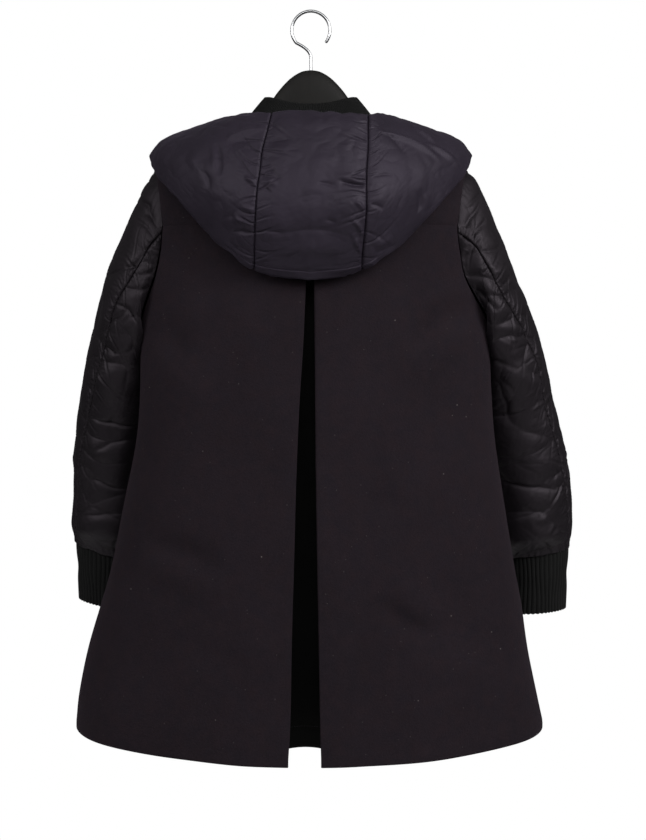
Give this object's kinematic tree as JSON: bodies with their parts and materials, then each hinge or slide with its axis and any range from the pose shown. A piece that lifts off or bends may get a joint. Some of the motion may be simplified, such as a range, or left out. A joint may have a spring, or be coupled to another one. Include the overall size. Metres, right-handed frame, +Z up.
{
  "type": "down coat on a hanger",
  "caption": "A-line wool coat with padded sleeves and a padded hood, rib collar and cuffs and an inverted back pleat, hung open on a contoured hanger.",
  "frame": {"origin": "the inner top of the hanger's hook, where it rests on a rail", "axes": "+Z up, +Y out of the coat's front, so that its back faces -Y, +X towards the wearer's right"},
  "size_m": [0.6749, 0.3057, 0.9208],
  "materials": {
    "wool": "napped wool coating, dark aubergine",
    "underlay": "napped wool coating, black",
    "sleeve": "padded nylon with a soft sheen, black",
    "rib": "rib knit, black",
    "hood": "padded nylon with a soft sheen, dark navy purple",
    "hanger": "moulded, satin black",
    "hook": "polished steel wire"
  },
  "bodies": {
    "root": {"back_yoke": "wool", "back_left": "wool", "back_right": "wool", "front_left": "wool", "front_right": "wool", "pleat_underlay": "underlay", "sleeve_left_top": "sleeve", "sleeve_left_under": "sleeve", "sleeve_right_top": "sleeve", "sleeve_right_under": "sleeve", "cuff_left": "rib", "cuff_right": "rib", "collar": "rib", "hood_centre": "hood", "hood_left": "hood", "hood_right": "hood", "hanger_body": "hanger", "hanger_hook": "hook"}
  },
  "joints": []
}
